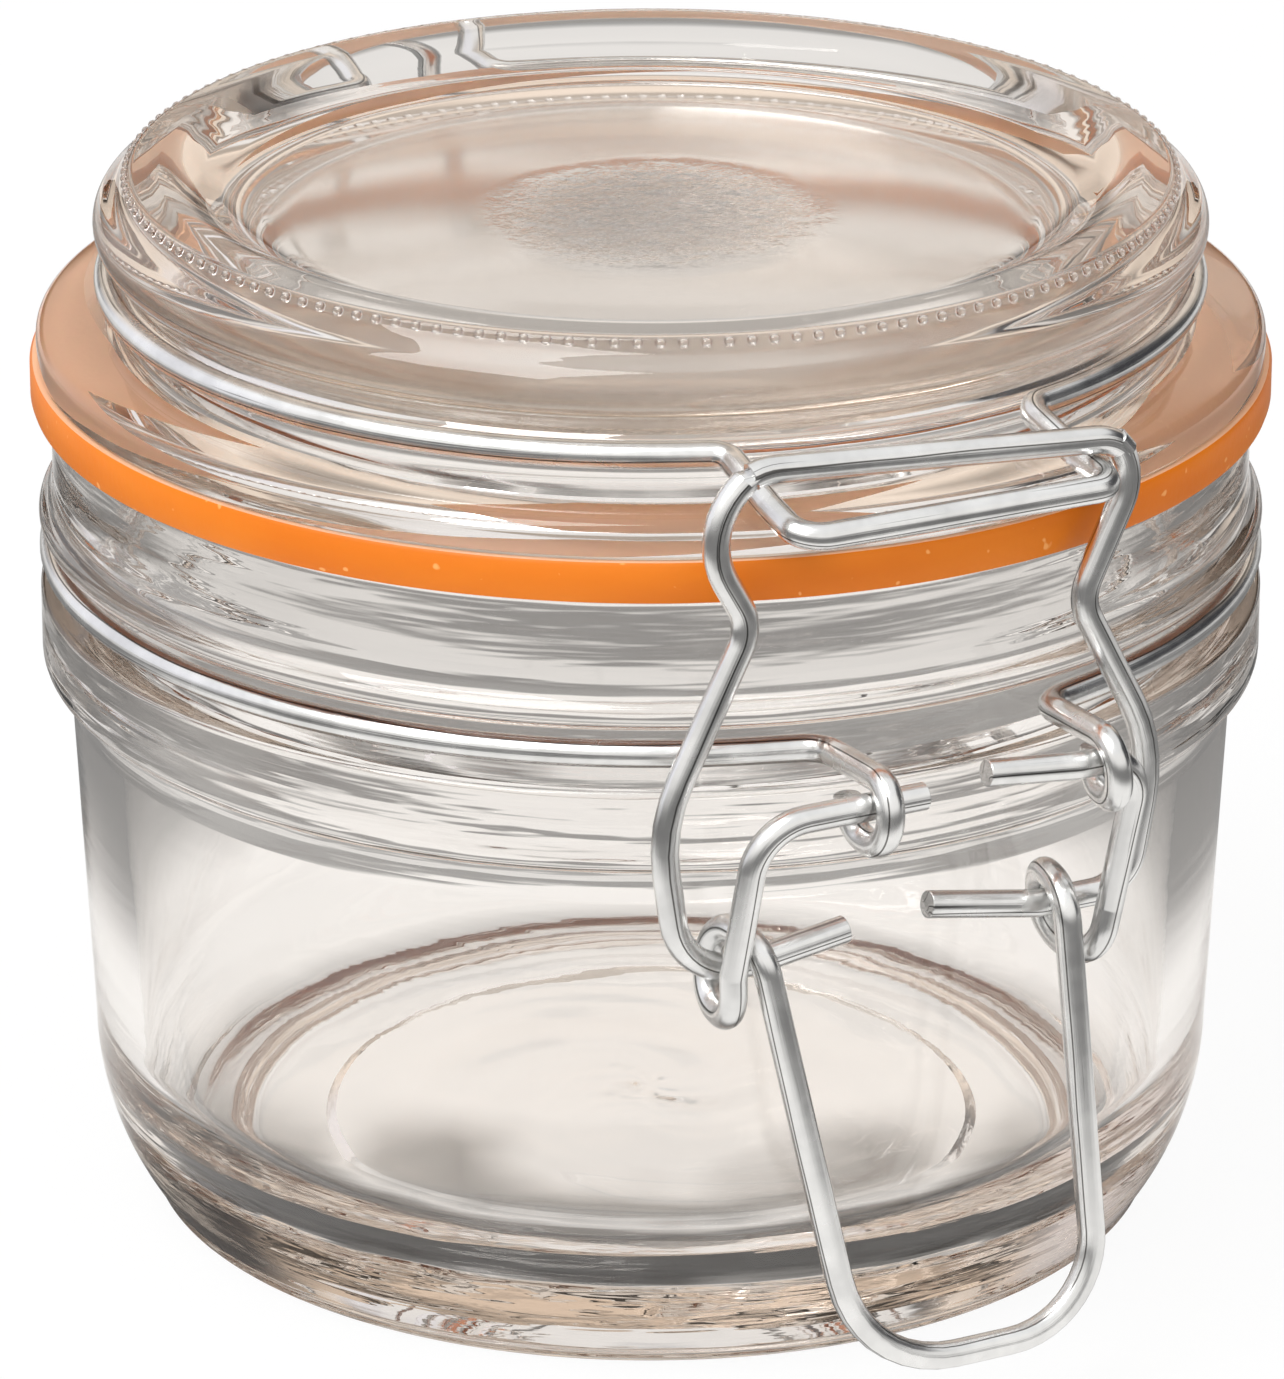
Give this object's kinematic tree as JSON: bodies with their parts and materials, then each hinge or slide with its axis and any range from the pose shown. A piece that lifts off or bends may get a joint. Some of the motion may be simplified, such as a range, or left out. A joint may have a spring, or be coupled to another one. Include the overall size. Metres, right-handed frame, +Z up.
{
  "type": "lidded glass canister",
  "caption": "Round glass storage canister with a domed lid, rubber gasket and wire bail clasp, hinged at the rear.",
  "frame": {"origin": "centre of the jar's foot, on the surface it stands on", "axes": "+Z up along the jar's axis, -Y towards the clasp, +Y towards the hinge, +X to the right seen from the clasp"},
  "size_m": [0.094, 0.1115, 0.081],
  "materials": {
    "clear_glass": "pressed, clear",
    "orange_rubber": "smooth, matt",
    "plated_wire": "bright zinc plated"
  },
  "bodies": {
    "jar": {"jar_body": "clear_glass", "body_wire": "plated_wire"},
    "lid": {"lid": "clear_glass", "gasket": "orange_rubber", "lid_wire": "plated_wire"},
    "lever": {"lever": "plated_wire"},
    "bail": {"bail": "plated_wire"}
  },
  "joints": [
    {"name": "lid_hinge", "type": "hinge", "parent": "jar", "child": "lid", "pos_m": [0, 0.0515, 0.0575], "axis": [-1, 0, 0], "range_deg": [0, 180]},
    {"name": "lever_pivot", "type": "hinge", "parent": "jar", "child": "lever", "pos_m": [0, -0.053, 0.05], "axis": [-1, 0, 0], "range_deg": [0, 150]},
    {"name": "bail_pivot", "type": "hinge", "parent": "lever", "child": "bail", "pos_m": [0, -0.048, 0.0374], "axis": [-1, 0, 0], "range_deg": [-330, 0]}
  ],
  "couplings": [
    {"joint": "bail_pivot", "follows": "lever_pivot", "ratio": -2.2}
  ]
}
